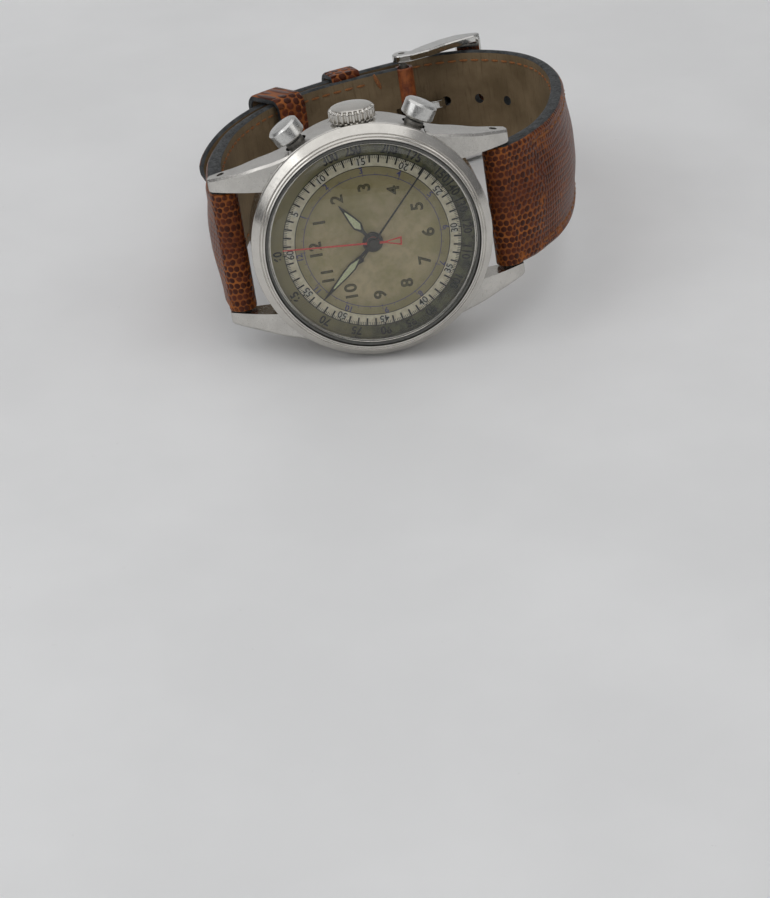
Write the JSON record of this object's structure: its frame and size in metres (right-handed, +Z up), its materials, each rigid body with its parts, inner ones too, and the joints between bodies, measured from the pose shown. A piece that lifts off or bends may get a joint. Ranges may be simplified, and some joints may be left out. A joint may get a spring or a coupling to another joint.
{
  "type": "wrist chronograph",
  "caption": "Hand-wound steel wrist chronograph with two pushers and crown, central chronograph hands, scaled dial, and a buckled brown leather strap, lying on its side",
  "frame": {"origin": "centre of the footprint, on the floor", "axes": "+Z up; +Y runs from the dial back towards the buckle; the dial faces -Y; 3 o'clock is up"},
  "size_m": [0.0594, 0.0712, 0.037],
  "materials": {
    "polished_steel": "polished, lightly scratched",
    "brushed_steel": "fine brushed, scratched",
    "crystal": "clear polished",
    "seal": "matt",
    "dial_lacquer": "aged cream lacquer with dark rings",
    "hand_metal": "dark, luminous filling",
    "counter_red": "satin red",
    "plate_nickel": "grained nickel plate",
    "gear_brass": "fine grained",
    "movement_steel": "straight grained",
    "strap_leather": "brown lizard grain, semi-gloss, stitched"
  },
  "bodies": {
    "watch": {"balance_cock": "plate_nickel", "barrel_bridge": "plate_nickel", "bezel": "polished_steel", "case_back": "brushed_steel", "case_back_gasket": "seal", "case_middle": "brushed_steel", "chronograph_bridge": "plate_nickel", "crown_tube": "brushed_steel", "crystal": "crystal", "crystal_gasket": "seal", "dial": "dial_lacquer", "fixed_keeper": "strap_leather", "hairspring": "movement_steel", "mainplate": "plate_nickel", "mainspring": "movement_steel", "movement_ring": "gear_brass", "pusher_spring_reset": "movement_steel", "pusher_spring_start": "movement_steel", "pusher_tube_reset": "brushed_steel", "pusher_tube_start": "brushed_steel", "spring_bar_12": "brushed_steel", "spring_bar_6": "brushed_steel", "strap_long": "strap_leather", "strap_short": "strap_leather", "train_bridge": "plate_nickel"},
    "winding_sleeve": {"sliding_pinion": "movement_steel"},
    "crown_and_stem": {"crown": "polished_steel", "winding_stem": "movement_steel"},
    "winding_pinion_body": {"winding_pinion": "movement_steel"},
    "crown_wheel_body": {"crown_wheel": "movement_steel"},
    "ratchet_body": {"ratchet_wheel": "movement_steel", "barrel_arbor": "movement_steel"},
    "click_body": {"click": "movement_steel"},
    "pusher_start_body": {"pusher_start": "polished_steel"},
    "lever_body": {"operating_lever": "movement_steel"},
    "pusher_reset_body": {"pusher_reset": "polished_steel"},
    "hammer_body": {"reset_hammer": "movement_steel"},
    "fourth_body": {"fourth_wheel": "gear_brass"},
    "escape_body": {"escape_wheel": "movement_steel"},
    "third_body": {"third_wheel": "gear_brass"},
    "centre_body": {"center_wheel": "gear_brass"},
    "barrel_body": {"mainspring_barrel": "gear_brass"},
    "clutch_body": {"coupling_clutch": "movement_steel"},
    "coupling_body": {"coupling_wheel": "gear_brass"},
    "minute_body": {"minute_hand": "hand_metal", "cannon_pinion": "movement_steel"},
    "minute_wheel_body": {"minute_wheel": "gear_brass"},
    "hour_body": {"hour_hand": "hand_metal", "hour_wheel": "gear_brass"},
    "chrono_seconds_body": {"chrono_second_hand": "hand_metal", "chrono_runner": "gear_brass"},
    "chrono_minutes_body": {"chrono_minute_hand": "counter_red", "minute_counter_wheel": "gear_brass"},
    "balance_body": {"balance_wheel": "gear_brass"},
    "pallet_body": {"pallet_fork": "movement_steel"},
    "column_body": {"column_wheel": "movement_steel"},
    "buckle_body": {"buckle_frame": "polished_steel", "buckle_bar": "brushed_steel"},
    "tongue_body": {"buckle_tongue": "polished_steel"},
    "keeper_body": {"free_keeper": "strap_leather"}
  },
  "joints": [
    {"name": "crown_turn", "type": "hinge", "parent": "watch", "child": "winding_sleeve", "pos_m": [-0.00611, -0.02765, 0.01755], "axis": [-0.0802, 0.144, 0.9863], "continuous": true},
    {"name": "crown_pull", "type": "slide", "parent": "winding_sleeve", "child": "crown_and_stem", "axis": [-0.0802, 0.144, 0.9863], "range_m": [0, 0.0007]},
    {"name": "winding_pinion_turn", "type": "hinge", "parent": "watch", "child": "winding_pinion_body", "pos_m": [-0.00611, -0.02765, 0.01755], "axis": [-0.0802, 0.144, 0.9863], "continuous": true},
    {"name": "crown_wheel_turn", "type": "hinge", "parent": "watch", "child": "crown_wheel_body", "pos_m": [-0.00751, -0.02677, 0.0236], "axis": [0, -0.9895, 0.1444], "continuous": true},
    {"name": "ratchet_turn", "type": "hinge", "parent": "watch", "child": "ratchet_body", "pos_m": [-0.01273, -0.02756, 0.01817], "axis": [0, -0.9895, 0.1444], "continuous": true},
    {"name": "click_swing", "type": "hinge", "parent": "watch", "child": "click_body", "pos_m": [-0.01511, -0.02842, 0.01227], "axis": [0, -0.9895, 0.1444], "range_deg": [-4, 0], "stiffness_Nm_per_rad": 0.00002},
    {"name": "push_start", "type": "slide", "parent": "watch", "child": "pusher_start_body", "axis": [0.5606, -0.1196, -0.8194], "range_m": [0, 0.0008], "stiffness_N_per_m": 900, "deforming": ["pusher_spring_start"]},
    {"name": "lever_swing", "type": "hinge", "parent": "watch", "child": "lever_body", "pos_m": [-0.00827, -0.02594, 0.02929], "axis": [0, -0.9895, 0.1444], "range_deg": [0, 9.17]},
    {"name": "push_reset", "type": "slide", "parent": "watch", "child": "pusher_reset_body", "axis": [-0.421, -0.131, -0.8975], "range_m": [0, 0.0008], "stiffness_N_per_m": 900, "deforming": ["pusher_spring_reset"]},
    {"name": "hammer_swing", "type": "hinge", "parent": "watch", "child": "hammer_body", "pos_m": [0.00524, -0.02714, 0.02104], "axis": [0, -0.9895, 0.1444], "range_deg": [0, 5.33]},
    {"name": "fourth_turn", "type": "hinge", "parent": "watch", "child": "fourth_body", "pos_m": [-0.00026, -0.02737, 0.01946], "axis": [0, -0.9895, 0.1444], "continuous": true},
    {"name": "escape_wheel_turn", "type": "hinge", "parent": "watch", "child": "escape_body", "pos_m": [0.00047, -0.02693, 0.0225], "axis": [0, -0.9895, 0.1444], "continuous": true},
    {"name": "third_wheel_turn", "type": "hinge", "parent": "watch", "child": "third_body", "pos_m": [-0.00182, -0.02784, 0.01622], "axis": [0, -0.9895, 0.1444], "continuous": true},
    {"name": "center_wheel_turn", "type": "hinge", "parent": "watch", "child": "centre_body", "pos_m": [-0.00611, -0.02765, 0.01755], "axis": [0, -0.9895, 0.1444], "continuous": true},
    {"name": "mainspring_barrel_turn", "type": "hinge", "parent": "watch", "child": "barrel_body", "pos_m": [-0.01273, -0.02756, 0.01817], "axis": [0, -0.9895, 0.1444], "continuous": true},
    {"name": "clutch_swing", "type": "hinge", "parent": "watch", "child": "clutch_body", "pos_m": [-0.00026, -0.02341, 0.01889], "axis": [0, -0.9895, 0.1444], "range_deg": [0, 2]},
    {"name": "coupling_wheel_turn", "type": "hinge", "parent": "clutch_body", "child": "coupling_body", "pos_m": [-0.00303, -0.0237, 0.02039], "axis": [0, -0.9895, 0.1444], "continuous": true},
    {"name": "minute_hand_turn", "type": "hinge", "parent": "watch", "child": "minute_body", "pos_m": [-0.00611, -0.03161, 0.01813], "axis": [0, 0.9895, -0.1444], "continuous": true},
    {"name": "minute_wheel_turn", "type": "hinge", "parent": "watch", "child": "minute_wheel_body", "pos_m": [-0.00526, -0.03017, 0.02104], "axis": [0, 0.9895, -0.1444], "continuous": true},
    {"name": "hour_hand_turn", "type": "hinge", "parent": "watch", "child": "hour_body", "pos_m": [-0.00611, -0.03161, 0.01813], "axis": [0, 0.9895, -0.1444], "continuous": true},
    {"name": "chrono_seconds_turn", "type": "hinge", "parent": "watch", "child": "chrono_seconds_body", "pos_m": [-0.00611, -0.03161, 0.01813], "axis": [0, 0.9895, -0.1444], "continuous": true},
    {"name": "chrono_minutes_turn", "type": "hinge", "parent": "watch", "child": "chrono_minutes_body", "pos_m": [-0.00611, -0.03161, 0.01813], "axis": [0, 0.9895, -0.1444], "continuous": true},
    {"name": "balance_swing", "type": "hinge", "parent": "watch", "child": "balance_body", "pos_m": [-0.00152, -0.02644, 0.02582], "axis": [0, -0.9895, 0.1444], "range_deg": [-270, 270], "stiffness_Nm_per_rad": 0.0000001, "deforming": ["hairspring"]},
    {"name": "pallet_swing", "type": "hinge", "parent": "watch", "child": "pallet_body", "pos_m": [-0.00068, -0.02665, 0.02441], "axis": [0, -0.9895, 0.1444], "range_deg": [-2, 2]},
    {"name": "column_wheel_turn", "type": "hinge", "parent": "watch", "child": "column_body", "pos_m": [-0.013, -0.02349, 0.02531], "axis": [0, -0.9895, 0.1444], "continuous": true},
    {"name": "buckle_swing", "type": "hinge", "parent": "watch", "child": "buckle_body", "pos_m": [0.00605, 0.0279, 0.01043], "axis": [-0.0802, 0.144, 0.9863], "range_deg": [0, 4]},
    {"name": "tongue_swing", "type": "hinge", "parent": "buckle_body", "child": "tongue_body", "pos_m": [0.00605, 0.0279, 0.01043], "axis": [-0.0802, 0.144, 0.9863], "range_deg": [0, 4]},
    {"name": "keeper_slide", "type": "slide", "parent": "watch", "child": "keeper_body", "axis": [-0.8264, -0.5629, 0.015], "range_m": [-0.002, 0.0007]}
  ],
  "couplings": [
    {"joint": "winding_pinion_turn", "follows": "crown_turn", "ratio": 1},
    {"joint": "crown_wheel_turn", "follows": "crown_turn", "ratio": 0.54545},
    {"joint": "ratchet_turn", "follows": "crown_turn", "ratio": -0.375},
    {"joint": "lever_swing", "follows": "push_start", "rad_per_m": 200},
    {"joint": "hammer_swing", "follows": "push_reset", "rad_per_m": 116.28},
    {"joint": "escape_wheel_turn", "follows": "fourth_turn", "ratio": -8},
    {"joint": "third_wheel_turn", "follows": "fourth_turn", "ratio": -0.13333},
    {"joint": "center_wheel_turn", "follows": "fourth_turn", "ratio": 0.016667},
    {"joint": "mainspring_barrel_turn", "follows": "fourth_turn", "ratio": -0.0027778},
    {"joint": "coupling_wheel_turn", "follows": "fourth_turn", "ratio": -2.4},
    {"joint": "minute_wheel_turn", "follows": "minute_hand_turn", "ratio": -0.33333},
    {"joint": "hour_hand_turn", "follows": "minute_hand_turn", "ratio": 0.083333},
    {"joint": "chrono_minutes_turn", "follows": "chrono_seconds_turn", "ratio": 0.016667}
  ]
}
